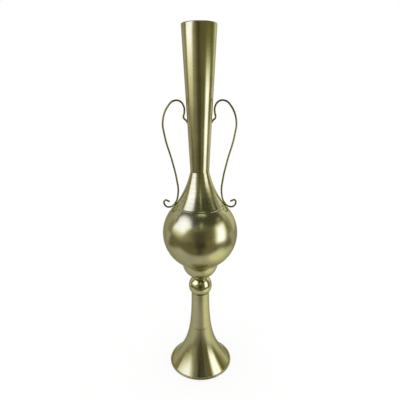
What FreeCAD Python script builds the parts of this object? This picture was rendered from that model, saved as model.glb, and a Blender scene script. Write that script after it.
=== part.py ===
import FreeCAD, Part
import math
import os

# Tall urn-shaped floor vase in spun sheet metal. From the floor up it has a
# trumpet foot on a wire ring, a slim stem, a ball, a round cup, a globe belly,
# a sloping shoulder and a long neck that widens to a rolled rim. Two bent-wire
# handles stand left and right. A tie rod inside clamps foot, ball, cup and belly.
# Lengths are in millimetres, angles in degrees. Z is up and the origin is on
# the floor at the middle of the foot.

# Shared values
sheet = 1.0
seat_gap = 0.3
overrun = 6.0
full_turn = 360.0
curve_steps = 14
halvings = 50

# Foot
foot_height = 298.0
foot_top_r = 32.55
foot_ring_r = 112.9
foot_wire_r = 3.5
foot_wire_flat = 0.4
foot_seat_angle = 135.0
foot_joint_z = 160.0
foot_waist_drop = 173.2
foot_sweep_out = 56.8
foot_sweep_up = 69.8
collar_height = 14.0

# Ball and cup
knop_r = 42.03
cup_bottom_r = 22.4
cup_r = 64.1
cup_rim_drop = 1.6

# Belly
belly_r = 130.0
belly_seat_r = 18.0

# Shoulder
lip_r = 86.6
lip_lap = 4.0
lip_blend = 8.0
belly_lap = 10.0
shoulder_height = 119.07
shoulder_top_out = 9.8
shoulder_top_down = 39.8
shoulder_lip_in = 33.96
shoulder_lip_up = 46.2

# Neck
neck_bottom_r = 31.45
neck_top_r = 54.6
neck_height = 449.35
rim_roll_r = 3.6

# Handles
wire_r = 3.0
handle_reach = 118.0
handle_drop = 221.0
tail_drop = 286.3
tail_dip = 5.0
scroll_r = 13.0
braze_r = 4.3
contact_back = 6.0

# Tie rod and its hardware
rod_r = 5.0
rod_clearance = 0.6
thread_gap = 0.1
rod_end = 6.0
nut_sides = 6
nut_flats = 17.0
nut_height = 8.0
washer_r = 15.0
washer_thick = 2.0
plate_z = 34.0
plate_thick = 6.0

# Handle loop from the neck over the top and down to the shoulder. The first
# share runs from the outline of the vase (0) to the reach of the handle (1),
# the second from the contact on the shoulder (0) to the top of the loop (1).
loop_shares = [
    (0.132, 0.8409),
    (0.093, 0.8897),
    (0.089, 0.9381),
    (0.253, 0.9929),
    (0.525, 0.9946),
    (0.732, 0.9572),
    (0.989, 0.8217),
    (0.938, 0.6698),
    (0.688, 0.4350),
    (0.476, 0.2366),
    (0.254, 0.1029),
]

# Scroll at the lower end: middle, then points, in shares of its radius.
scroll_out_share = 1.90
scroll_up_share = 0.64
scroll_shares = [
    (-0.630, -1.059),
    (0.570, -0.645),
    (0.647, 0.717),
    (-0.664, 0.436),
]

# Levels and centres worked out from the sizes above
knop_seat_r = knop_r + seat_gap
belly_seat_sphere_r = belly_r + seat_gap
lip_sphere_r = belly_seat_sphere_r + sheet
knop_z = foot_height + math.sqrt(knop_seat_r ** 2 - foot_top_r ** 2)
cup_bottom_z = knop_z + math.sqrt(knop_seat_r ** 2 - cup_bottom_r ** 2)
cup_z = cup_bottom_z + math.sqrt(cup_r ** 2 - cup_bottom_r ** 2)
cup_rim_z = cup_z - cup_rim_drop
cup_rim_r = math.sqrt(cup_r ** 2 - cup_rim_drop ** 2)
belly_z = cup_rim_z + math.sqrt(belly_seat_sphere_r ** 2 - cup_rim_r ** 2)
lip_z = belly_z + math.sqrt(lip_sphere_r ** 2 - lip_r ** 2)
neck_z = lip_z + shoulder_height
rim_z = neck_z + neck_height
belly_seat_z = belly_z - math.sqrt(belly_r ** 2 - belly_seat_r ** 2)
hole_r = rod_r + rod_clearance

axis_base = FreeCAD.Vector(0, 0, 0)
axis_up = FreeCAD.Vector(0, 0, 1)


def at(r, z):
    """A point of a profile in the XZ plane."""
    return FreeCAD.Vector(r, 0, z)


def line(a, b):
    return Part.LineSegment(a, b).toShape()


def chain(points):
    """Straight edges from point to point."""
    return [line(a, b) for a, b in zip(points, points[1:])]


def circle_arc(mid, r, a, b):
    """Arc from a to b on a circle about mid, the short way round."""
    way = (a - mid) + (b - mid)
    way.normalize()
    return Part.Arc(a, mid + way * r, b).toShape()


def spin(edges):
    """Turned solid from the closed profile that the edges make."""
    face = Part.Face(Part.Wire(Part.__sortEdges__(edges)))
    return face.revolve(axis_base, axis_up, full_turn)


def bezier(points):
    curve = Part.BezierCurve()
    curve.setPoles(points)
    return curve


def side_of(curve, u, turn):
    """Unit normal of a profile curve at u, to the left for turn 1."""
    along = curve.tangent(u)[0]
    return FreeCAD.Vector(-along.z * turn, 0, along.x * turn)


def parallel(curve, distance, turn):
    """Smooth curve beside a profile curve at a steady distance."""
    points = []
    for i in range(curve_steps + 1):
        u = i / curve_steps
        points.append(curve.value(u) + side_of(curve, u, turn) * distance)
    beside = Part.BSplineCurve()
    beside.interpolate(points)
    return beside


def at_height(curve, z):
    """Parameter of a profile curve that falls steadily, at height z."""
    low, high = curve.FirstParameter, curve.LastParameter
    for _ in range(halvings):
        mid = (low + high) / 2
        if curve.value(mid).z > z:
            low = mid
        else:
            high = mid
    return (low + high) / 2


def radius_at(curve, z):
    return curve.value(at_height(curve, z)).x


def on_circle(mid_z, circle_r, r, up):
    """Point at radius r on a circle about the axis, on its upper or lower half."""
    return at(r, mid_z + up * math.sqrt(circle_r ** 2 - r ** 2))


def meet(z1, r1, z2, r2):
    """Point where two circles with middles on the axis cross."""
    z = (r1 ** 2 - r2 ** 2 + z2 ** 2 - z1 ** 2) / (2 * (z2 - z1))
    return at(math.sqrt(r1 ** 2 - (z - z1) ** 2), z)


# Profile curves, all drawn from the top down
neck_slope = (neck_top_r - neck_bottom_r) / (neck_height - rim_roll_r)
neck_lean = math.atan(neck_slope)


def neck_radius(z):
    return neck_bottom_r + (z - neck_z) * neck_slope


lip_top = at(lip_r, lip_z)
shoulder_outer = bezier([
    at(neck_bottom_r, neck_z),
    at(neck_bottom_r + shoulder_top_out, neck_z - shoulder_top_down),
    at(lip_r - shoulder_lip_in, lip_z + shoulder_lip_up),
    lip_top,
])
shoulder_inner = parallel(shoulder_outer, sheet, -1)

ring_z = foot_wire_r - foot_wire_flat
ring_mid = at(foot_ring_r, ring_z)
ring_seat_r = foot_wire_r + seat_gap
ring_way = math.radians(foot_seat_angle)
foot_end = ring_mid + at(math.cos(ring_way), math.sin(ring_way)) * ring_seat_r
foot_outer = bezier([
    at(foot_top_r, foot_height),
    at(foot_top_r, foot_height - foot_waist_drop),
    foot_end + at(-foot_sweep_out, foot_sweep_up),
    foot_end,
])
foot_inner = parallel(foot_outer, sheet, -1)


def collar(inner_r_low, inner_r_high, z):
    """Outer and inner edge of the collar that stands inside the tube above."""
    low = inner_r_low - seat_gap
    high = inner_r_high - seat_gap
    top = z + collar_height
    outside = [at(low, z), at(high, top)]
    inside = [at(high - sheet, top), at(low - sheet, z - sheet)]
    return outside, inside


def neck_tube():
    """Straight cone with its upper edge rolled inwards."""
    mid = at(neck_top_r - rim_roll_r * math.cos(neck_lean), rim_z - rim_roll_r)
    out = at(math.cos(neck_lean), -math.sin(neck_lean))
    inner_roll_r = rim_roll_r - sheet
    skin = mid + out * rim_roll_r
    inside = mid + out * inner_roll_r
    foot_out = at(neck_bottom_r, neck_z)
    foot_in = at(neck_bottom_r - sheet, neck_z)
    crown = mid + at(0, rim_roll_r)
    hollow = mid + at(0, inner_roll_r)
    edges = [
        line(foot_out, skin),
        Part.Arc(skin, crown, mid - out * rim_roll_r).toShape(),
        line(mid - out * rim_roll_r, mid - out * inner_roll_r),
        Part.Arc(mid - out * inner_roll_r, hollow, inside).toShape(),
        line(inside, foot_in),
        line(foot_in, foot_out),
    ]
    return spin(edges)


def shoulder_funnel():
    """Sloping shoulder with a collar for the neck and a lip that laps the belly."""
    mid = at(0, belly_z)
    lip_way = (lip_top - mid).normalize()
    lip_low = mid + lip_way * belly_seat_sphere_r
    lip_angle = math.atan2(lip_way.x, lip_way.z)
    lap_angle = lip_angle - lip_lap / belly_seat_sphere_r
    lap_end = mid + at(math.sin(lap_angle), math.cos(lap_angle)) * belly_seat_sphere_r
    outside, inside = collar(neck_bottom_r - sheet,
                             neck_radius(neck_z + collar_height) - sheet, neck_z)
    first = at_height(shoulder_inner, neck_z - sheet)
    last = at_height(shoulder_inner, lip_z + lip_blend)
    edges = [shoulder_outer.toShape()]
    edges += chain([at(neck_bottom_r, neck_z)] + outside + inside
                   + [shoulder_inner.value(first)])
    edges.append(shoulder_inner.toShape(first, last))
    edges.append(line(shoulder_inner.value(last), lap_end))
    edges.append(circle_arc(mid, belly_seat_sphere_r, lap_end, lip_low))
    edges.append(line(lip_low, lip_top))
    return spin(edges)


def belly_bowl():
    """Globe, open at the top under the shoulder, with a small flat for the washer."""
    mid = at(0, belly_z)
    inner_r = belly_r - sheet
    mouth_out = on_circle(belly_z, belly_r, lip_r - belly_lap, 1)
    way = (mouth_out - mid).normalize()
    mouth_in = mid + way * inner_r
    flat_out = at(belly_seat_r, belly_seat_z)
    flat_z = belly_seat_z + sheet
    flat_in = at(math.sqrt(inner_r ** 2 - (belly_z - flat_z) ** 2), flat_z)
    edges = [
        Part.Arc(mouth_out, at(belly_r, belly_z), flat_out).toShape(),
        Part.Arc(mouth_in, at(inner_r, belly_z), flat_in).toShape(),
        line(mouth_out, mouth_in),
    ]
    edges += chain([flat_out, at(hole_r, belly_seat_z), at(hole_r, flat_z), flat_in])
    return spin(edges)


def stem_cup():
    """Round cup, its rim against the belly and its lower edge on the ball."""
    mid = at(0, cup_z)
    inner_r = cup_r - sheet
    rim_out = at(cup_rim_r, cup_rim_z)
    rim_in = meet(cup_z, inner_r, belly_z, belly_seat_sphere_r)
    low_out = at(cup_bottom_r, cup_bottom_z)
    low_in = meet(cup_z, inner_r, knop_z, knop_seat_r)
    edges = [
        circle_arc(mid, cup_r, low_out, rim_out),
        circle_arc(mid, inner_r, low_in, rim_in),
        circle_arc(at(0, belly_z), belly_seat_sphere_r, rim_out, rim_in),
        circle_arc(at(0, knop_z), knop_seat_r, low_out, low_in),
    ]
    return spin(edges)


def knop_ball():
    """Hollow ball with a hole for the rod at the top and the bottom."""
    inner_r = knop_r - sheet
    out_top = on_circle(knop_z, knop_r, hole_r, 1)
    out_low = on_circle(knop_z, knop_r, hole_r, -1)
    in_top = on_circle(knop_z, inner_r, hole_r, 1)
    in_low = on_circle(knop_z, inner_r, hole_r, -1)
    edges = [
        Part.Arc(out_top, at(knop_r, knop_z), out_low).toShape(),
        Part.Arc(in_top, at(inner_r, knop_z), in_low).toShape(),
        line(out_top, in_top),
        line(out_low, in_low),
    ]
    return spin(edges)


def foot_stem():
    """Slim upper half of the foot. Its upper edge is shaped to the ball."""
    top_out = at(foot_top_r, foot_height)
    top_in_z = on_circle(knop_z, knop_seat_r, foot_top_r - sheet, -1).z
    first = at_height(foot_inner, top_in_z)
    top_in = foot_inner.value(first)
    out_last = at_height(foot_outer, foot_joint_z)
    in_last = at_height(foot_inner, foot_joint_z)
    edges = [
        foot_outer.toShape(0, out_last),
        foot_inner.toShape(first, in_last),
        circle_arc(at(0, knop_z), knop_seat_r, top_out, top_in),
        line(foot_outer.value(out_last), foot_inner.value(in_last)),
    ]
    return spin(edges)


def foot_flare():
    """Trumpet-shaped lower half of the foot, with a collar inside the stem."""
    out_first = at_height(foot_outer, foot_joint_z)
    in_first = at_height(foot_inner, foot_joint_z - sheet)
    outside, inside = collar(radius_at(foot_inner, foot_joint_z),
                             radius_at(foot_inner, foot_joint_z + collar_height),
                             foot_joint_z)
    in_end = foot_inner.value(foot_inner.LastParameter)
    edges = [foot_outer.toShape(out_first, 1)]
    edges += chain([foot_outer.value(out_first)] + outside + inside
                   + [foot_inner.value(in_first)])
    edges.append(foot_inner.toShape(in_first, foot_inner.LastParameter))
    edges.append(line(in_end, foot_end))
    shape = spin(edges)
    return shape.cut(Part.makeTorus(foot_ring_r, ring_seat_r, at(0, ring_z)))


def foot_ring():
    """Wire ring round the foot, ground flat where it stands on the floor."""
    ring = Part.makeTorus(foot_ring_r, foot_wire_r, at(0, ring_z))
    below = Part.makeCylinder(foot_ring_r + overrun, overrun, at(0, -overrun))
    return ring.cut(below)


def arc_through(a, along, b):
    """Arc from a to b that leaves a in the given direction."""
    chord = b - a
    side = FreeCAD.Vector(-along.z, 0, along.x)
    lean = chord.dot(side)
    radius = chord.dot(chord) / (2 * lean)
    mid = a + side * radius
    middle = (a - mid) + (b - mid)
    if middle.dot(along) < 0 and chord.dot(along) > 0:
        middle = middle * -1
    middle.normalize()
    if chord.dot(along) < 0:
        middle = middle * -1
    return Part.Arc(a, mid + middle * abs(radius), b).toShape()


def knot_ways(knots):
    """Direction at each knot, from the circle through it and its neighbours."""
    ways = []
    last = len(knots) - 1
    for i in range(len(knots)):
        k = min(max(i, 1), last - 1)
        a, b, c = knots[k - 1], knots[k], knots[k + 1]
        first = b - a
        second = c - b
        turn = math.atan2(first.x * second.z - first.z * second.x, first.dot(second))
        share = first.Length / (first.Length + second.Length)
        angle = math.atan2(first.z, first.x) + turn * share
        if i < k:
            angle = 2 * math.atan2(first.z, first.x) - angle
        if i > k:
            angle = 2 * math.atan2(second.z, second.x) - angle
        ways.append(FreeCAD.Vector(math.cos(angle), 0, math.sin(angle)))
    return ways


def smooth_path(knots, ways):
    """Two tangent arcs between each knot and the next."""
    edges = []
    for i in range(len(knots) - 1):
        p, q = knots[i], knots[i + 1]
        tp, tq = ways[i], ways[i + 1]
        span = q - p
        both = tp + tq
        spread = 2 * (1 - tp.dot(tq))
        lean = span.dot(both)
        reach = (math.sqrt(lean ** 2 + spread * span.dot(span)) - lean) / spread
        joint = (p + tp * reach + q - tq * reach) * 0.5
        edges.append(arc_through(p, tp, joint))
        joint_way = (q - tq * reach - p - tp * reach).normalize()
        edges.append(arc_through(joint, joint_way, q))
    return Part.Wire(edges)


def shoulder_guard():
    """Space of the shoulder and the belly with the brazing gap round them."""
    skin = parallel(shoulder_outer, seat_gap, 1)
    top, low = skin.value(skin.FirstParameter), skin.value(skin.LastParameter)
    edges = [skin.toShape()]
    edges += chain([top, at(0, top.z), at(0, low.z), low])
    return spin(edges).fuse(Part.makeSphere(lip_sphere_r, at(0, belly_z)))


def neck_guard():
    """Space of the neck with the brazing gap round it."""
    low = neck_bottom_r + seat_gap
    high = neck_top_r + seat_gap
    return Part.makeCone(low, high, neck_height - rim_roll_r, at(0, neck_z))


def vase_radius(z):
    """Outline of the vase beside the handles."""
    if z > neck_z:
        return neck_radius(z)
    return radius_at(shoulder_outer, z)


def handle_path():
    """Middle line of the right handle, from inside the neck to the scroll's tip."""
    top_z = rim_z - handle_drop
    tail_z = rim_z - tail_drop
    u = at_height(shoulder_outer, lip_z + contact_back)
    contact = shoulder_outer.value(u) + side_of(shoulder_outer, u, 1) * (wire_r + seat_gap)
    knots = [at(neck_radius(tail_z) - tail_dip, tail_z - tail_dip),
             at(neck_radius(tail_z) + tail_dip, tail_z + tail_dip)]
    for out_share, up_share in loop_shares:
        z = contact.z + (top_z - contact.z) * up_share
        r = vase_radius(z)
        knots.append(at(r + (handle_reach - r) * out_share, z))
    knots.append(contact)
    contact_index = len(knots) - 1
    middle = lip_top + at(scroll_out_share, scroll_up_share) * scroll_r
    for out_share, up_share in scroll_shares:
        knots.append(middle + at(out_share, up_share) * scroll_r)
    ways = knot_ways(knots)
    ways[contact_index] = shoulder_outer.tangent(u)[0]
    return knots, ways, contact


def handle(side):
    """Bent wire with a small brazed fillet at the neck and one on the shoulder."""
    knots, ways, contact = handle_path()
    path = smooth_path(knots, ways)
    ring = Part.Wire(Part.Circle(knots[0], ways[0], wire_r).toShape())
    shape = path.makePipeShell([ring], True, False)
    tail_z = rim_z - tail_drop
    shape = shape.fuse(Part.makeSphere(braze_r, at(neck_radius(tail_z), tail_z)))
    shape = shape.fuse(Part.makeSphere(braze_r, contact))
    shape = shape.cut(neck_guard()).cut(shoulder_guard())
    shape = max(shape.Solids, key=lambda solid: solid.Volume)
    if side < 0:
        shape = shape.mirror(axis_base, FreeCAD.Vector(1, 0, 0))
    return shape


def washer(z):
    disc = Part.makeCylinder(washer_r, washer_thick, at(0, z))
    return disc.cut(Part.makeCylinder(hole_r, washer_thick, at(0, z)))


def hex_nut(z):
    corner_r = nut_flats / 2 / math.cos(math.pi / nut_sides)
    points = []
    for i in range(nut_sides + 1):
        angle = math.radians(full_turn * i / nut_sides)
        points.append(FreeCAD.Vector(corner_r * math.cos(angle),
                                     corner_r * math.sin(angle), z))
    body = Part.Face(Part.makePolygon(points)).extrude(axis_up * nut_height)
    return body.cut(Part.makeCylinder(rod_r + thread_gap, nut_height, at(0, z)))


belly_washer_z = belly_seat_z + sheet
belly_nut_z = belly_washer_z + washer_thick
plate_washer_z = plate_z - washer_thick
plate_nut_z = plate_washer_z - nut_height


def tie_rod():
    low = plate_nut_z - rod_end
    high = belly_nut_z + nut_height + rod_end
    return Part.makeCylinder(rod_r, high - low, at(0, low))


def weight_plate():
    """Steel disc held up against the inside of the flared foot."""
    top = plate_z + plate_thick
    low_edge = at(radius_at(foot_inner, plate_z) - seat_gap, plate_z)
    high_edge = at(radius_at(foot_inner, top) - seat_gap, top)
    return spin(chain([at(hole_r, plate_z), low_edge, high_edge, at(hole_r, top),
                       at(hole_r, plate_z)]))


pieces = {
    "neck_tube": neck_tube(),
    "shoulder_funnel": shoulder_funnel(),
    "belly_bowl": belly_bowl(),
    "stem_cup": stem_cup(),
    "knop_ball": knop_ball(),
    "foot_stem": foot_stem(),
    "foot_flare": foot_flare(),
    "foot_ring": foot_ring(),
    "right_handle": handle(1),
    "left_handle": handle(-1),
    "tie_rod": tie_rod(),
    "belly_washer": washer(belly_washer_z),
    "belly_nut": hex_nut(belly_nut_z),
    "weight_plate": weight_plate(),
    "plate_washer": washer(plate_washer_z),
    "plate_nut": hex_nut(plate_nut_z),
}

os.makedirs("parts", exist_ok=True)
for name, shape in pieces.items():
    if shape.ShapeType == "Compound" and len(shape.Solids) == 1:
        shape = shape.Solids[0]
    shape.exportStep("parts/" + name + ".step")
    box = shape.BoundBox
    print(name, len(shape.Solids), "solid, valid", shape.isValid(),
          "volume", round(shape.Volume), "z", round(box.ZMin, 2), round(box.ZMax, 2),
          "x", round(box.XMin, 2), round(box.XMax, 2))
print("height", round(rim_z, 2), "levels", [round(v, 2) for v in (
    knop_z, cup_bottom_z, cup_z, cup_rim_z, belly_z, lip_z, neck_z)])
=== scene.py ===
# %% [markdown]
# # A tall brass urn vase, turned and bent in Blender
#
# The real vase is 1.2 m tall and is made of spun metal: sheet brass is pressed
# against a turning form, so almost every part is round about one axis. On top of
# each other stand a trumpet foot, a slim stem, a polished ball, a cup, a globe
# belly, a sloping shoulder and a long neck. Two handles of bent wire are brazed
# on, one left and one right.
#
# This lesson draws half of each outline, turns it round the axis as the lathe
# does, gives it the thickness of the sheet, and then works on the finish, since
# bare metal is nothing but what it mirrors. Outlines are drawn in millimetres.
# The scene itself is in metres.

# %% Load the measured model
import math
import bpy
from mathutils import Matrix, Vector


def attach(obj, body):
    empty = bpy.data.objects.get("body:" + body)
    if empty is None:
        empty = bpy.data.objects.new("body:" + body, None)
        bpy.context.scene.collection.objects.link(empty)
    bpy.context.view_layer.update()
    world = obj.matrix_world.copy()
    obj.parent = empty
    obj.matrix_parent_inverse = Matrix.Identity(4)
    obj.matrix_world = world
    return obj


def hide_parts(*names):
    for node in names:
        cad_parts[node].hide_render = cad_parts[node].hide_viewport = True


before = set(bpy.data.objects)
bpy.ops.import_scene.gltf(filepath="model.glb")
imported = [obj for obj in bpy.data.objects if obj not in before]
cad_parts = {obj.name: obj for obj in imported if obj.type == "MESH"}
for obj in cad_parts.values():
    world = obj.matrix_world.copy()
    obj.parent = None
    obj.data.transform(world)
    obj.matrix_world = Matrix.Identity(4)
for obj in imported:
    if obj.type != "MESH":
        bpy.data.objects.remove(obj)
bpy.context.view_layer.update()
print("measured pieces:", len(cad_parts))

# %% [markdown]
# ## Camera
#
# The photograph was taken with a camera held about a metre above the floor and a
# little more than a metre away, looking down by seventeen degrees. The focal
# length comes from how fast the vase seems to narrow towards its foot. The very
# small roll follows the slight lean of the vase in the picture.

# %% Camera
camera_aside = 0.0003
camera_distance = 1.19262
camera_height = 1.01834
look_down = math.radians(17.15)
roll = math.radians(-0.26)

lens = bpy.data.cameras.new("studio camera")
lens.sensor_width = 36
lens.lens = 32.907
lens.dof.use_dof = False
camera = bpy.data.objects.new("studio camera", lens)
tilt = math.pi / 2 - look_down
camera.location = (camera_aside, -camera_distance, camera_height)
camera.rotation_euler = (tilt, -roll * math.sin(tilt), roll * math.cos(tilt))
bpy.context.scene.collection.objects.link(camera)
bpy.context.scene.camera = camera
bpy.context.scene.view_settings.view_transform = "Standard"
print("camera at", [round(v, 3) for v in camera.location])

# %% [markdown]
# ## Small helpers for materials
#
# A material in Blender is a graph of nodes. These helpers add a node with its
# settings in one line, do one step of sums, and fade softly between two values,
# so that each finish further down stays short enough to read.

# %% Node helpers
def new_material(name):
    material = bpy.data.materials.new(name)
    material.use_nodes = True
    material.node_tree.nodes.clear()
    return material, material.node_tree


def add_node(tree, kind, inputs=(), **settings):
    """A new node with its own settings, and its inputs set to numbers or links."""
    node = tree.nodes.new(kind)
    for key, value in settings.items():
        setattr(node, key, value)
    for key, value in dict(inputs).items():
        if isinstance(value, bpy.types.NodeSocket):
            tree.links.new(value, node.inputs[key])
        else:
            node.inputs[key].default_value = value
    return node


def scalar(tree, operation, first, *others):
    """Sums on numbers or links, from left to right."""
    for other in others or (0.0,):
        first = add_node(tree, "ShaderNodeMath", {0: first, 1: other},
                         operation=operation).outputs[0]
    return first


def fade(tree, value, start, end, low=0.0, high=1.0):
    """A soft step: low before start, high after end."""
    node = add_node(tree, "ShaderNodeMapRange",
                    {"Value": value, "From Min": start, "From Max": end,
                     "To Min": low, "To Max": high},
                    interpolation_type="SMOOTHSTEP")
    return node.outputs["Result"]


def blend_colours(tree, share, low, high):
    mixed = add_node(tree, "ShaderNodeMixRGB", {"Fac": share, "Color1": low, "Color2": high})
    return mixed.outputs[0]


def mix_shaders(tree, share, low, high):
    mixed = add_node(tree, "ShaderNodeMixShader",
                     {0: share, 1: low.outputs[0], 2: high.outputs[0]})
    return mixed.outputs[0]


print("node helpers ready")

# %% [markdown]
# ## Studio: white surroundings and floor
#
# The vase stands on pale paper, and all that the camera sees round it is white. So
# the world is plain white wherever the camera or the metal looks at it, and lights
# matt things a little more strongly. The floor is a real matt surface and keeps the
# soft shadow round the foot. Further away it blends into the white of the world.

# %% White world
def looked_at(tree):
    """1 for rays from the camera, a mirror or glass, 0 for light on matt things."""
    path = add_node(tree, "ShaderNodeLightPath")
    return scalar(tree, "MAXIMUM", path.outputs["Is Camera Ray"],
                  path.outputs["Is Glossy Ray"], path.outputs["Is Transmission Ray"])


white = (1, 1, 1, 1)
room_light = 1.2

world = bpy.data.worlds.new("white studio")
bpy.context.scene.world = world
world.use_nodes = True
tree = world.node_tree
tree.nodes.clear()
soft = add_node(tree, "ShaderNodeBackground", {"Color": white, "Strength": room_light})
plain = add_node(tree, "ShaderNodeBackground", {"Color": white, "Strength": 1.0})
add_node(tree, "ShaderNodeOutputWorld",
         {"Surface": mix_shaders(tree, looked_at(tree), soft, plain)})
print("white world ready, light on matt things:", room_light)

# %% Floor
floor_colour = (0.87, 0.87, 0.86, 1)
floor_size = 40
blend_from, blend_to = 0.3, 1.6
least_white = 0.75

bpy.ops.mesh.primitive_plane_add(size=floor_size)
floor = bpy.context.object
floor.name = "studio_floor"
material, tree = new_material("pale floor")
place = add_node(tree, "ShaderNodeTexCoord")
reach = add_node(tree, "ShaderNodeVectorMath", {0: place.outputs["Object"]}, operation="LENGTH")
share = scalar(tree, "MULTIPLY", looked_at(tree),
               fade(tree, reach.outputs["Value"], blend_from, blend_to, least_white, 1.0))
matt = add_node(tree, "ShaderNodeBsdfDiffuse", {"Color": floor_colour})
glow = add_node(tree, "ShaderNodeEmission", {"Color": white, "Strength": 1.0})
add_node(tree, "ShaderNodeOutputMaterial", {"Surface": mix_shaders(tree, share, matt, glow)})
floor.data.materials.append(material)
print("floor ready, all white from", blend_to, "m on")

# %% [markdown]
# ## Studio: what the metal mirrors
#
# Polished metal has no shading of its own: it only shows the room. Beyond the pale
# paper the room is dim, with a tall window on the left and a lamp panel close by
# on the right. The long streaks on the vase are these two lights, and the dark
# band between them is the dim end of the room. Each of these is made as a plain
# sheet that only mirrors can see, so that the floor and the background stay clean.

# %% Glow for sheets that only mirrors see
def mirror_glow(sheet, name, build):
    """Give a sheet its glow. build returns the colour and the cover (0 to 1)."""
    sheet.name = sheet.data.name = name
    material, tree = new_material(name)
    place = add_node(tree, "ShaderNodeTexCoord")
    axes = add_node(tree, "ShaderNodeSeparateXYZ", {0: place.outputs["Object"]})
    colour, cover = build(tree, *axes.outputs)
    glow = add_node(tree, "ShaderNodeEmission", {"Color": colour, "Strength": 1.0})
    open_air = add_node(tree, "ShaderNodeBsdfTransparent")
    add_node(tree, "ShaderNodeOutputMaterial",
             {"Surface": mix_shaders(tree, cover, open_air, glow)})
    sheet.data.materials.append(material)
    sheet.visible_camera = False
    sheet.visible_diffuse = False
    sheet.visible_shadow = False
    sheet.visible_transmission = False
    sheet.visible_volume_scatter = False
    print("only mirrors see:", name)


# %% [markdown]
# ### Window, lamp panel and other upright things
#
# Each of these is an upright sheet that faces the vase and fades softly at its
# edges. The window stands far away, leans to one side and is darker near its
# sill. The lamp panel is near, tips forward over the vase and is narrower at the
# top. Daylight and lamp are bluer than brass, which is why the highlights look
# nearly white on yellow metal. Their soft edges are warmer than their middles.
#
# A bright corner of the room lies behind the vase on the right. Two dark sheets in
# front, where the camera stands, keep the middle of the foot and the belly dark.

# %% Upright lights
def upright_light(name, azimuth, distance, low, high, width, colour, warm, side, sill, head,
                  lean=0.0, cool_from=0.5, nod=0.0, taper=0.0):
    """Azimuth 0 is in front of the vase and 90 on its right. The sheet reaches from
    low to high, and side, sill and head are the widths of its soft edges, all in
    metres. warm is the colour of the soft edges, up to the cover cool_from. lean
    moves the upper part of the glow sideways, nod tips the sheet to the vase by
    degrees and taper narrows the glow upwards."""
    angle = math.radians(azimuth)
    bpy.ops.mesh.primitive_plane_add(size=1)
    sheet = bpy.context.object
    sheet.scale = (width, high - low, 1)
    bpy.ops.object.transform_apply(location=False, rotation=False, scale=True)
    sheet.rotation_euler = (math.pi / 2 - math.radians(nod), 0, angle)
    sheet.location = (distance * math.sin(angle), -distance * math.cos(angle),
                      (low + high) / 2)
    half = (high - low) / 2

    def build(tree, x, y, z):
        slid = scalar(tree, "SUBTRACT", x, scalar(tree, "MULTIPLY", y, lean))
        narrowing = scalar(tree, "SUBTRACT", 1.0, scalar(tree, "MULTIPLY", y, taper))
        across = scalar(tree, "ABSOLUTE", scalar(tree, "DIVIDE", slid, narrowing))
        cover = scalar(tree, "MULTIPLY",
                       fade(tree, across, width / 2 - side, width / 2, 1.0, 0.0),
                       fade(tree, y, -half, -half + sill),
                       fade(tree, y, half - head, half, 1.0, 0.0))
        cool = fade(tree, cover, cool_from, 1.0)
        return blend_colours(tree, cool, warm + (1,), colour + (1,)), cover

    mirror_glow(sheet, name, build)


upright_light("window", azimuth=-60, distance=3.0, low=0.10, high=4.60, width=3.95,
              colour=(3.15, 3.4, 5.4), warm=(2.8, 2.75, 2.5),
              side=0.84, sill=1.34, head=0.40, lean=0.52, cool_from=0.75, taper=-0.12)
upright_light("lamp_panel", azimuth=63.5, distance=1.155, low=-0.065, high=1.245, width=1.04,
              colour=(3.4, 3.65, 5.4), warm=(3.0, 3.1, 1.9),
              side=0.34, sill=0.30, head=0.28, lean=0.13, nod=29, taper=0.36)
upright_light("bright_corner", azimuth=134, distance=2.4, low=0.0, high=2.6, width=2.0,
              colour=(1.8, 1.9, 1.85), warm=(1.5, 1.5, 1.2), side=0.6, sill=0.3, head=0.5)
upright_light("camera_stand", azimuth=1, distance=1.35, low=0.0, high=1.12, width=0.80,
              colour=(0.17, 0.16, 0.13), warm=(0.18, 0.17, 0.13),
              side=0.18, sill=0.10, head=0.25)
upright_light("camera_case", azimuth=2, distance=0.62, low=0.17, high=0.54, width=0.44,
              colour=(0.09, 0.08, 0.055), warm=(0.10, 0.09, 0.06),
              side=0.16, sill=0.16, head=0.14)

# %% [markdown]
# ### Wall of the dim room
#
# The wall is a wide open tube round the front half of the room. A colour ramp runs
# along it. It is darkest straight ahead, behind the camera, lighter and warmer to
# the sides, and nearly white where it meets the white surroundings. The table gives
# the tone at each azimuth, 0 being straight ahead and 90 on the right.

# %% Wall
wall_tones = (
    (-118, (0.90, 0.90, 0.80)), (-106, (0.60, 0.57, 0.38)), (-90, (0.46, 0.43, 0.25)),
    (-60, (0.60, 0.57, 0.38)), (-38, (0.68, 0.66, 0.46)), (-27, (0.48, 0.46, 0.30)),
    (-15, (0.22, 0.20, 0.13)), (-4, (0.12, 0.11, 0.06)), (8, (0.27, 0.24, 0.15)),
    (17, (0.30, 0.27, 0.15)), (32, (0.30, 0.28, 0.15)), (60, (0.40, 0.37, 0.19)),
    (92, (0.28, 0.26, 0.13)), (108, (0.62, 0.61, 0.34)), (120, (0.95, 0.96, 0.88)))
ramp_degrees = 250
wall_ends, wall_gone = math.radians(114), math.radians(124)


def wall_tone(tree, x, y, z):
    azimuth = scalar(tree, "ARCTAN2", x, scalar(tree, "MULTIPLY", y, -1.0))
    place = scalar(tree, "ADD",
                   scalar(tree, "DIVIDE", azimuth, math.radians(ramp_degrees)), 0.5)
    ramp = add_node(tree, "ShaderNodeValToRGB", {"Fac": place})
    stops = ramp.color_ramp.elements
    while len(stops) < len(wall_tones):
        stops.new(0.5)
    for stop, (degrees, tone) in zip(stops, wall_tones):
        stop.position = degrees / ramp_degrees + 0.5
        stop.color = tone + (1,)
    cover = fade(tree, scalar(tree, "ABSOLUTE", azimuth), wall_ends, wall_gone, 1.0, 0.0)
    return ramp.outputs["Color"], cover


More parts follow.
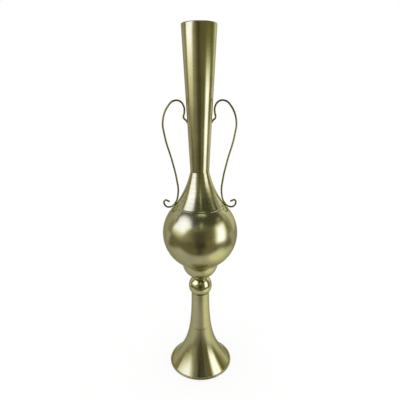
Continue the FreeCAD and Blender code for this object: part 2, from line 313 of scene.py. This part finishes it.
room_reach = 6.0
wall_low, wall_high = -0.05, 2.95
bpy.ops.mesh.primitive_cylinder_add(vertices=96, radius=room_reach,
                                    depth=wall_high - wall_low, end_fill_type="NOTHING",
                                    location=(0, 0, (wall_low + wall_high) / 2))
mirror_glow(bpy.context.object, "room_wall", wall_tone)

# %% [markdown]
# ### Strips and pools of tone
#
# The carpet and the ceiling are level sheets. Their light and dark places are made
# from two soft shapes: a straight strip, and a round pool.

# %% Strip and pool
def strip(tree, value, middle, inner, outer):
    """1 near the middle, fading to 0 from the inner to the outer distance."""
    off = scalar(tree, "ABSOLUTE", scalar(tree, "SUBTRACT", value, middle))
    return fade(tree, off, inner, outer, 1.0, 0.0)


def pool(tree, x, y, middle, inner, outer):
    """The same on all sides of a point."""
    here = add_node(tree, "ShaderNodeCombineXYZ", {0: x, 1: y})
    off = add_node(tree, "ShaderNodeVectorMath", {0: here.outputs[0], 1: middle + (0,)},
                   operation="DISTANCE")
    return fade(tree, off.outputs["Value"], inner, outer, 1.0, 0.0)


print("soft shapes ready: strip and pool")

# %% [markdown]
# ### Carpet round the paper
#
# The carpet lies just above the floor. It is open over the pale paper,
# which ends about half a metre in front of the vase. Past it the floor is dim,
# darkest in a narrow strip ahead, and lighter far out on the left. On the right the
# lamp panel throws two pools of light on the paper, one a little in front of the
# vase and one a little behind it.

# %% Carpet
paper_side, paper_front = 0.88, 0.47
dim_left, dim_right = (0.28, 0.26, 0.16, 1), (0.38, 0.36, 0.20, 1)
dim_far_left = (0.50, 0.48, 0.34, 1)
dim_ahead = (0.14, 0.13, 0.08, 1)
dim_near = (0.33, 0.31, 0.21, 1)
dim_strip = (0.13, 0.11, 0.08, 1)
pool_behind, pool_in_front = (1.40, 1.45, 1.30, 1), (1.68, 1.72, 1.38, 1)


def carpet_tone(tree, x, y, z):
    aside = scalar(tree, "ABSOLUTE", x)
    ahead = scalar(tree, "MULTIPLY", y, -1.0)
    past = scalar(tree, "MAXIMUM", scalar(tree, "DIVIDE", aside, paper_side),
                  scalar(tree, "DIVIDE", ahead, paper_front))
    dim = scalar(tree, "MULTIPLY", fade(tree, past, start=0.84, end=1.16),
                 fade(tree, ahead, start=-0.45, end=-0.25))
    narrow = scalar(tree, "MULTIPLY", strip(tree, x, middle=0.0, inner=0.06, outer=0.16),
                    fade(tree, ahead, start=0.42, end=0.60),
                    fade(tree, ahead, start=1.1, end=1.6, low=1.0, high=0.0))
    front = scalar(tree, "MULTIPLY",
                   pool(tree, x, y, middle=(0.46, -0.25), inner=0.18, outer=0.47),
                   fade(tree, ahead, start=0.38, end=0.56, low=1.0, high=0.0))
    behind = pool(tree, x, y, middle=(0.52, 0.22), inner=0.20, outer=0.50)

    tone = blend_colours(tree, fade(tree, x, start=-0.9, end=0.9), dim_left, dim_right)
    tone = blend_colours(tree, fade(tree, x, start=-2.2, end=-1.2), dim_far_left, tone)
    tone = blend_colours(tree, fade(tree, aside, start=0.0, end=0.7), dim_ahead, tone)
    tone = blend_colours(tree, fade(tree, ahead, start=0.7, end=1.6), dim_near, tone)
    tone = blend_colours(tree, narrow, tone, dim_strip)
    tone = blend_colours(tree, behind, tone, pool_behind)
    tone = blend_colours(tree, front, tone, pool_in_front)
    return tone, scalar(tree, "MAXIMUM", dim, behind, front, narrow)


carpet_z = 0.002
bpy.ops.mesh.primitive_plane_add(size=room_reach * 2, location=(0, 0, carpet_z))
mirror_glow(bpy.context.object, "carpet", carpet_tone)

# %% [markdown]
# ### Ceiling
#
# The ceiling is dark over the vase and lighter far ahead, most of all on the left.
# A wash of daylight from the window lies on it there, and a small glint far out on
# the right. A row of greenish tube lamps runs away from the vase, a little right of
# the middle: a broad one close in front, a faint end of the row over the vase, and
# a weaker stretch further off.

# %% Ceiling
far_left, far_ahead = (0.50, 0.49, 0.38, 1), (0.34, 0.34, 0.25, 1)
dark_above = (0.14, 0.145, 0.11, 1)
daylight_wash = (2.90, 3.10, 4.90, 1)
right_glint = (0.80, 0.88, 0.55, 1)
tube_light = (1.60, 1.95, 1.50, 1)


def ceiling_tone(tree, x, y, z):
    wash = pool(tree, x, y, middle=(-3.1, -1.6), inner=1.22, outer=2.15)
    glint = pool(tree, x, y, middle=(3.0, -0.5), inner=0.20, outer=0.75)
    broad = scalar(tree, "MULTIPLY", strip(tree, x, middle=0.20, inner=0.25, outer=0.60),
                   strip(tree, y, middle=-0.70, inner=0.12, outer=0.26))
    row_end = fade(tree, y, start=-0.4, end=-0.2, low=0.0, high=0.35)
    further = scalar(tree, "MULTIPLY",
                     fade(tree, y, start=-2.5, end=-1.9, low=0.55, high=0.0),
                     fade(tree, y, start=-4.4, end=-3.4))
    row = scalar(tree, "MULTIPLY", strip(tree, x, middle=0.24, inner=0.14, outer=0.30),
                 scalar(tree, "ADD", row_end, further))
    lamps = scalar(tree, "MAXIMUM", row, broad)

    tone = blend_colours(tree, fade(tree, x, start=-1.4, end=-0.3), far_left, far_ahead)
    tone = blend_colours(tree, fade(tree, y, start=-3.0, end=-2.5), tone, dark_above)
    tone = blend_colours(tree, glint, tone, right_glint)
    tone = blend_colours(tree, wash, tone, daylight_wash)
    tone = blend_colours(tree, lamps, tone, tube_light)
    return tone, fade(tree, y, start=0.5, end=0.9, low=1.0, high=0.0)


ceiling_z = 2.9
bpy.ops.mesh.primitive_plane_add(size=room_reach * 2, location=(0, 0, ceiling_z))
mirror_glow(bpy.context.object, "ceiling", ceiling_tone)

# %% [markdown]
# ## Turning an outline into a piece
#
# All round pieces are made alike. One point is placed at the top of the outline
# and extruded from place to place down the side of the piece, which gives a bent
# line.

# %% Draw an outline
def mm(points):
    """Radius and height in millimetres, as points in metres."""
    return [Vector((r / 1000, 0, z / 1000)) for r, z in points]


def draw_outline(name, points):
    """A bent line through the points. It ends in Edit Mode."""
    bpy.ops.mesh.primitive_plane_add(size=0.01)
    piece = bpy.context.object
    piece.name = piece.data.name = name
    bpy.ops.object.mode_set(mode="EDIT")
    bpy.ops.mesh.select_all(action="SELECT")
    bpy.ops.mesh.merge(type="CENTER")
    bpy.ops.transform.translate(value=points[0])
    for here, there in zip(points, points[1:]):
        bpy.ops.mesh.extrude_region_move(TRANSFORM_OT_translate={"value": there - here})
    return piece


print("outline helpers ready")

# %% [markdown]
# Spinning this line once round the Z axis makes the skin. The seam where the turn
# closes is merged, the normals are made to point outwards, and the Solidify
# modifier adds the 1 mm wall on the inside. A finished piece then takes the place
# of the measured one.

# %% Turn it into a piece
wall = 0.001
turns = 192
merge_distance = 0.00001
sharp_edge = math.radians(38)


def point_outwards(piece):
    """Turn the skin's normals away from the axis."""
    bpy.ops.mesh.normals_make_consistent(inside=False)
    bpy.ops.object.mode_set(mode="OBJECT")
    outward = sum(f.area * (f.normal.x * f.center.x + f.normal.y * f.center.y)
                  for f in piece.data.polygons)
    if outward < 0:
        bpy.ops.object.mode_set(mode="EDIT")
        bpy.ops.mesh.flip_normals()
        bpy.ops.object.mode_set(mode="OBJECT")


def turn(name, outline):
    """Spin an outline round the axis, and give the skin its thickness."""
    piece = draw_outline(name, mm(outline))
    bpy.ops.mesh.select_all(action="SELECT")
    bpy.ops.mesh.spin(steps=turns, angle=math.tau, center=(0, 0, 0), axis=(0, 0, 1))
    bpy.ops.mesh.select_all(action="SELECT")
    bpy.ops.mesh.remove_doubles(threshold=merge_distance)
    point_outwards(piece)
    bpy.ops.object.modifier_add(type="SOLIDIFY")
    sheet = piece.modifiers[-1]
    sheet.thickness = wall
    sheet.offset = -1
    sheet.use_even_offset = True
    bpy.ops.object.modifier_apply(modifier=sheet.name)
    bpy.ops.object.shade_smooth_by_angle(angle=sharp_edge)
    print(name, "faces:", len(piece.data.polygons))
    return piece


def stand_in(piece, node):
    """Show this piece instead of the measured one."""
    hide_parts(node)
    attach(piece, "root")


print("walls of", wall * 1000, "mm,", turns, "steps to a turn")

# %% [markdown]
# The outlines need three kinds of line: straight ones, parts of a circle, and
# flowing ones. A flowing line is a Bezier curve, which leaves its first end
# towards one pull and arrives at the other end from a second pull.

# %% Lines for outlines
def straight(a, b, steps):
    """Points on a straight line, without its first."""
    return [tuple(p + (q - p) * i / steps for p, q in zip(a, b))
            for i in range(1, steps + 1)]


def arc(middle_z, radius, start, end, steps, middle_r=0.0):
    """Points on a circle, by degrees above the horizontal."""
    points = []
    for i in range(steps + 1):
        angle = math.radians(start + (end - start) * i / steps)
        points.append((middle_r + radius * math.cos(angle), middle_z + radius * math.sin(angle)))
    return points


def flowing(a, pull_a, pull_b, b, steps, start=0.0, end=1.0):
    """Points on a Bezier curve from a to b, or on the share from start to end."""
    points = []
    for i in range(steps + 1):
        u = start + (end - start) * i / steps
        v = 1 - u
        shares = (v * v * v, 3 * u * v * v, 3 * u * u * v, u * u * u)
        points.append(tuple(sum(s * p[k] for s, p in zip(shares, (a, pull_a, pull_b, b)))
                            for k in (0, 1)))
    return points


print("lines ready: straight, arc and flowing")

# %% [markdown]
# ## Neck
#
# The neck is a straight cone, 450 mm long, rolled from sheet and planished smooth.
# Its upper edge is rolled inwards, which makes it stiff and safe to touch. In the
# outline this is a half circle at the top of a straight line.

# %% Neck
neck_joint = (31.45, 750.65)
rim_r, rim_z = 54.6, 1200.0
roll_r = 3.6
roll_inner_end = 205
lean = math.degrees(math.atan((rim_r - neck_joint[0]) / (rim_z - roll_r - neck_joint[1])))

rim = arc(rim_z - roll_r, roll_r, roll_inner_end, -lean, 24, rim_r - roll_r)
neck = turn("neck", rim + straight(rim[-1], neck_joint, 24))
stand_in(neck, "neck_tube")

# %% [markdown]
# ## Shoulder
#
# The shoulder is spun in one piece. It starts as wide as the neck, flows out in
# an S and ends in a small bead that laps the belly. The bead catches the light as
# a thin bright line, with a dark line of shadow below it. The curve starts a hair
# below the neck, so there is a fine seam, and stops where the bead begins.

# %% Shoulder
lip_r, lip_z = 86.6, 631.58
below_neck = (41.25, 710.85)
above_lip = (lip_r - 33.96, lip_z + 46.2)
seam_share, bead_share = 0.004, 0.975
bead_r = 1.15
bead_up, bead_in = 0.9, 0.5
bead_top, bead_end = 62, -110

flow = flowing(neck_joint, below_neck, above_lip, (lip_r, lip_z), 60, seam_share, bead_share)
bead = arc(lip_z + bead_up, bead_r, bead_top, bead_end, 9, lip_r - bead_in)
shoulder = turn("shoulder", flow + bead)
stand_in(shoulder, "shoulder_funnel")

# %% [markdown]
# ## Belly
#
# A globe of 260 mm, open at the top under the shoulder. At the bottom it has a
# small flat with a hole, where the tie rod clamps it on the cup.

# %% Belly
belly_z, belly_r = 532.89, 130.0
mouth_r, seat_r, seat_mid_r, hole_r = 76.6, 18.0, 12.0, 5.6
mouth_angle = math.degrees(math.acos(mouth_r / belly_r))
seat_angle = -math.degrees(math.acos(seat_r / belly_r))

globe = arc(belly_z, belly_r, mouth_angle, seat_angle, 88)
seat_z = globe[-1][1]
belly = turn("belly", globe + [(seat_mid_r, seat_z), (hole_r, seat_z)])
stand_in(belly, "belly_bowl")

# %% [markdown]
# ## Cup and ball
#
# The belly sits in a round cup, and the cup stands on a ball. Both are parts of
# smaller globes. The ball is the one piece that was buffed to a mirror.

# %% Cup and ball
cup_z, cup_r = 421.04, 64.1
cup_rim_angle, cup_low_angle = -1.43, -69.55
cup = turn("cup", arc(cup_z, cup_r, cup_rim_angle, cup_low_angle, 40))
stand_in(cup, "stem_cup")

ball_z, ball_r = 325.06, 42.03
ball_hole_angle = 82.3
ball = turn("ball", arc(ball_z, ball_r, ball_hole_angle, -ball_hole_angle, 72))
stand_in(ball, "knop_ball")

# %% [markdown]
# ## Stem and trumpet foot
#
# One long curve runs from under the ball to the floor. The foot is spun in two
# lengths that are soldered together a little above the flare, so there is a fine
# seam. Each edge at the seam is eased: it swells by a hair and then sinks in.

# %% Stem and trumpet foot
foot_top = (32.55, 298.0)
foot_end = (110.21, 5.79)
below_top = (foot_top[0], foot_top[1] - 173.2)
above_end = (foot_end[0] - 56.8, foot_end[1] + 69.8)
every = 6

foot_line = flowing(foot_top, below_top, above_end, foot_end, 400)
seam_z = 160.0
seam_r = min(foot_line, key=lambda p: abs(p[1] - seam_z))[0]
clear, ease, gap = 0.8, 0.5, 0.05
swell, sink = 0.02, 0.12
upper = [p for p in foot_line if p[1] > seam_z + clear][::every]
lower = [p for p in foot_line if p[1] < seam_z - clear][::every]

stem = turn("stem", upper + [(seam_r + swell, seam_z + ease), (seam_r - sink, seam_z + gap)])
stand_in(stem, "foot_stem")
foot = turn("trumpet_foot",
            [(seam_r - sink, seam_z - gap), (seam_r + swell, seam_z - ease)] + lower + [foot_end])
stand_in(foot, "foot_flare")

# %% [markdown]
# ## Ring under the foot
#
# A ring of thick wire is soldered under the edge of the foot, so that the vase
# stands on something solid. A torus is a good start. Its lowest part is cut off
# flat with bisect, as the real one was ground flat. The cut keeps only what lies
# above the floor to a thousandth of a millimetre, and a strip of faces closes it.

# %% Floor ring
ring_r, ring_wire_r, ground_off = 112.9, 3.5, 0.4
cut_exactness = 0.000001

bpy.ops.mesh.primitive_torus_add(location=(0, 0, (ring_wire_r - ground_off) / 1000),
                                 major_radius=ring_r / 1000, minor_radius=ring_wire_r / 1000,
                                 major_segments=turns, minor_segments=28)
ring = bpy.context.object
bpy.ops.object.transform_apply(location=True, rotation=True, scale=True)
ring.name = ring.data.name = "floor_ring"
bpy.ops.object.mode_set(mode="EDIT")
bpy.ops.mesh.select_all(action="SELECT")
bpy.ops.mesh.bisect(plane_co=(0, 0, 0), plane_no=(0, 0, 1), use_fill=False, clear_inner=True,
                    threshold=cut_exactness)
bpy.ops.mesh.select_all(action="DESELECT")
bpy.ops.mesh.select_non_manifold()
bpy.ops.mesh.bridge_edge_loops()
bpy.ops.mesh.select_all(action="SELECT")
bpy.ops.mesh.normals_make_consistent(inside=False)
bpy.ops.object.mode_set(mode="OBJECT")
bpy.ops.object.shade_smooth_by_angle(angle=sharp_edge)
stand_in(ring, "foot_ring")
print("floor_ring faces:", len(ring.data.polygons))

# %% [markdown]
# ## Handles
#
# Each handle is one length of 6 mm wire. It leaves the neck, loops up and out,
# runs down beside the neck in a long S, touches the shoulder and ends in a small
# scroll. The wire is a Bezier curve with a round section: the points below are
# where the wire is held for bending, and automatic curve handles keep it springy
# between them.

# %% Bend the right handle
wire_r = 3.0
bends = mm([
    (36.5, 910.2), (45, 918.7), (50.8, 925.1), (48.6, 941.7), (49.0, 958.1), (62.2, 976.6),
    (82.5, 977.2), (97.8, 964.5), (117.2, 918.6), (113.0, 867.2), (91.6, 787.7),
    (77.0, 720.5), (73.7, 675.2), (84.9, 639.6), (103.2, 626.1), (118.8, 631.5),
    (119.8, 649.2), (102.7, 645.5)])

bpy.ops.curve.primitive_bezier_curve_add()
handle = bpy.context.object
handle.name = "handle_right"
bpy.ops.object.mode_set(mode="EDIT")
bpy.ops.curve.select_all(action="SELECT")
bpy.ops.curve.delete(type="VERT")
for bend in bends:
    bpy.ops.curve.vertex_add(location=bend)
bpy.ops.curve.select_all(action="SELECT")
bpy.ops.curve.handle_type_set(type="AUTOMATIC")
bpy.ops.object.mode_set(mode="OBJECT")
wire = handle.data
wire.dimensions = "3D"
wire.resolution_u = 12
wire.bevel_depth = wire_r / 1000
wire.bevel_resolution = 6
wire.use_fill_caps = True
bpy.ops.object.convert(target="MESH")
handle = bpy.context.object
print("handle_right faces:", len(handle.data.polygons))

# %% [markdown]
# Where the wire meets the neck and the shoulder, a small drop of brazing metal
# holds it. It is a sphere, pressed flat against the wall and drawn out along it.
# The left handle is a mirrored copy with its own mesh.

# %% Braze and copy
drop_r = 4.3
drop_shape = (0.8, 1.0, 1.25)
drop_places = mm([(40.4, 913.8), (84.2, 639.9)])

for drop_place in drop_places:
    bpy.ops.mesh.primitive_uv_sphere_add(segments=32, ring_count=16, radius=drop_r / 1000)
    bpy.ops.object.mode_set(mode="EDIT")
    bpy.ops.mesh.select_all(action="SELECT")
    bpy.ops.transform.resize(value=drop_shape)
    bpy.ops.transform.translate(value=drop_place)
    bpy.ops.object.mode_set(mode="OBJECT")
    handle.select_set(True)
    bpy.context.view_layer.objects.active = handle
    bpy.ops.object.join()

handle.data.name = "handle_right"
bpy.ops.object.transform_apply(location=True, rotation=True, scale=True)
bpy.ops.object.shade_smooth_by_angle(angle=math.radians(45))

bpy.ops.object.duplicate()
other = bpy.context.object
other.name = other.data.name = "handle_left"
other.scale = (-1, 1, 1)
bpy.ops.object.transform_apply(location=True, rotation=True, scale=True)
bpy.ops.object.mode_set(mode="EDIT")
bpy.ops.mesh.select_all(action="SELECT")
bpy.ops.mesh.normals_make_consistent(inside=False)
bpy.ops.object.mode_set(mode="OBJECT")
stand_in(handle, "right_handle")
stand_in(other, "left_handle")
print("handles reach", round(max(v.co.x for v in handle.data.vertices), 4), "m from the axis")

# %% [markdown]
# ## Finish of the turned brass
#
# Satin brass is made with fine abrasive held against the turning piece. It leaves
# thousands of rings, too fine to see one by one, that smear each mirror image
# along the piece. In Blender that is a metallic surface with a little roughness
# and anisotropy. Its tangent runs round the Z axis, and a quarter turn of the
# anisotropy lays the smear along the outline. A few broader rings and soft clouds
# in tone and gloss keep it from looking like plastic. The rings are noise read
# from the distance to the axis and the height, so they follow every outline.
#
# The surroundings here are whiter than the real room was, so the brass is written
# darker than brass is. Where brass mirrors brass, that would count twice. So its
# colour is doubled for rays that come from a mirror, and the places where two
# pieces meet glow golden, as they do in real brass.

# %% Rings, noise and metal
ring_step = 0.006


def ring_space(tree, place):
    """Coordinates that only change along the outline of a turned piece."""
    axes = add_node(tree, "ShaderNodeSeparateXYZ", {0: place.outputs["Object"]})
    flat = add_node(tree, "ShaderNodeCombineXYZ", {0: axes.outputs["X"], 1: axes.outputs["Y"]})
    reach = add_node(tree, "ShaderNodeVectorMath", {0: flat.outputs[0]}, operation="LENGTH")
    space = add_node(tree, "ShaderNodeCombineXYZ",
                     {0: scalar(tree, "MULTIPLY", reach.outputs["Value"], 1.0 / ring_step),
                      2: scalar(tree, "MULTIPLY", axes.outputs["Z"], 1.0 / ring_step)})
    return space.outputs[0]


def add_noise(tree, space, scale, detail, roughness=0.5):
    noise = add_node(tree, "ShaderNodeTexNoise",
                     {"Vector": space, "Scale": scale, "Detail": detail,
                      "Roughness": roughness})
    return noise.outputs["Fac"]


def vary(tree, noise, low, high, spread):
    """Noise lies round 0.5. What is within the spread of it goes from low to high."""
    return fade(tree, noise, 0.5 - spread, 0.5 + spread, low, high)


def metal(material, tree, colour, tone, roughness, bump, **more):
    """A metallic surface whose colour is scaled by a tone."""
    tint = add_node(tree, "ShaderNodeVectorMath", {0: colour, "Scale": tone}, operation="SCALE")
    inputs = {"Base Color": tint.outputs[0], "Metallic": 1.0, "Roughness": roughness,
              "Normal": bump.outputs[0]}
    inputs.update(more)
    surface = add_node(tree, "ShaderNodeBsdfPrincipled", inputs)
    add_node(tree, "ShaderNodeOutputMaterial", {"Surface": surface.outputs[0]})
    return material


print("noise and metal helpers ready")

# %% Turned brass
brass_colour = (0.312, 0.290, 0.160)
brass_edge = (0.50, 0.50, 0.42, 1)
fine_relief = 0.15
fine_gloss = 0.015


def turned_brass(name, roughness, smear, ring_depth, cloud=0.10, lines=0.0,
                 colour=brass_colour, edge=brass_edge):
    """ring_depth is in millimetres. cloud and lines say how much the tone varies."""
    material, tree = new_material(name)
    place = add_node(tree, "ShaderNodeTexCoord")
    rings = ring_space(tree, place)
    broad = add_noise(tree, rings, 1.0, 2.0)
    fine = add_noise(tree, rings, 9.0, 3.0, 0.6)
    clouds = add_noise(tree, place.outputs["Object"], 14.0, 4.0, 0.55)
    path = add_node(tree, "ShaderNodeLightPath")
    tone = scalar(tree, "MULTIPLY", vary(tree, clouds, 1.0 - cloud, 1.0 + cloud, 0.2),
                  vary(tree, broad, 1.0 - lines, 1.0 + lines, 0.15),
                  scalar(tree, "ADD", path.outputs["Is Glossy Ray"], 1.0))
    gloss = scalar(tree, "ADD", vary(tree, clouds, roughness * 0.9, roughness * 1.1, 0.2),
                   vary(tree, fine, -fine_gloss, fine_gloss, 0.15))
    relief = scalar(tree, "ADD", broad, scalar(tree, "MULTIPLY", fine, fine_relief))
    bump = add_node(tree, "ShaderNodeBump",
                    {"Strength": 1.0, "Distance": ring_depth / 1000, "Height": relief})
    around = add_node(tree, "ShaderNodeTangent", direction_type="RADIAL", axis="Z")
    return metal(material, tree, colour, tone, gloss, bump,
                 **{"Specular Tint": edge, "Anisotropic": smear, "Anisotropic Rotation": 0.25,
                    "Tangent": around.outputs[0]})


print("turned brass ready, base colour", brass_colour)

# %% [markdown]
# There are seven finishes. The neck was planished, belly and cup are satin, and
# the shoulder and the foot still show how they were spun and brushed, so their
# mirror images are smeared most. The ball is polished. The ring and the wire of
# the handles are plain, and they are written darker and browner than the rest:
# painted shade. On the ring it stands for the shade in the crease under the edge
# of the foot. On the wire, whose edge is darker too, it makes the wire mirror less
# of the white surroundings.

# %% Seven finishes
finishes = (
    (turned_brass("planished brass", 0.17, 0.25, 0.03), (neck,)),
    (turned_brass("satin brass", 0.205, 0.0, 0.03), (belly, cup)),
    (turned_brass("spun brass", 0.19, 0.60, 0.04, cloud=0.06, lines=0.05), (shoulder,)),
    (turned_brass("brushed brass", 0.16, 0.88, 0.03, cloud=0.04, lines=0.03), (stem, foot)),
    # painted shade: the ring is darker and browner for the shade in the crease under the foot
    (turned_brass("ring brass", 0.28, 0.0, 0.02,
                  colour=(0.26, 0.225, 0.095), edge=(0.36, 0.33, 0.18, 1)), (ring,)),
    (turned_brass("polished brass", 0.09, 0.2, 0.01, cloud=0.05,
                  colour=(0.33, 0.31, 0.16)), (ball,)),
    # painted shade: the wire and its edge are darker, so that it mirrors less of the white
    # surroundings
    (turned_brass("wire brass", 0.22, 0.0, 0.03, cloud=0.12,
                  colour=(0.19, 0.168, 0.036), edge=(0.20, 0.18, 0.05, 1)), (handle, other)))
for finish, pieces in finishes:
    for piece in pieces:
        piece.data.materials.append(finish)
        print(piece.name, "is", finish.name)

# %% [markdown]
# ## Hidden hardware
#
# Inside the foot a steel rod, a heavy plate, washers and nuts clamp the vase
# together. They come from the measured model and only need an honest steel.

# %% Steel
def plain_steel(name, colour, roughness):
    material, tree = new_material(name)
    place = add_node(tree, "ShaderNodeTexCoord")
    grain = add_noise(tree, place.outputs["Object"], 160.0, 5.0)
    tone = vary(tree, grain, 0.8, 1.1, 0.2)
    gloss = vary(tree, grain, roughness - 0.06, roughness + 0.08, 0.2)
    bump = add_node(tree, "ShaderNodeBump",
                    {"Strength": 0.4, "Distance": 0.0002, "Height": grain})
    return metal(material, tree, colour, tone, gloss, bump)


zinc = plain_steel("zinc plated steel", (0.52, 0.53, 0.54), 0.38)
raw = plain_steel("raw plate steel", (0.20, 0.19, 0.18), 0.58)
hardware = {"tie_rod": zinc, "belly_washer": zinc, "belly_nut": zinc,
            "plate_washer": zinc, "plate_nut": zinc, "weight_plate": raw}
for node, steel in hardware.items():
    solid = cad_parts[node]
    if not solid.material_slots:
        solid.data.materials.append(steel)
    for slot in solid.material_slots:
        slot.material = steel
print("steel on", len(hardware), "hidden pieces")
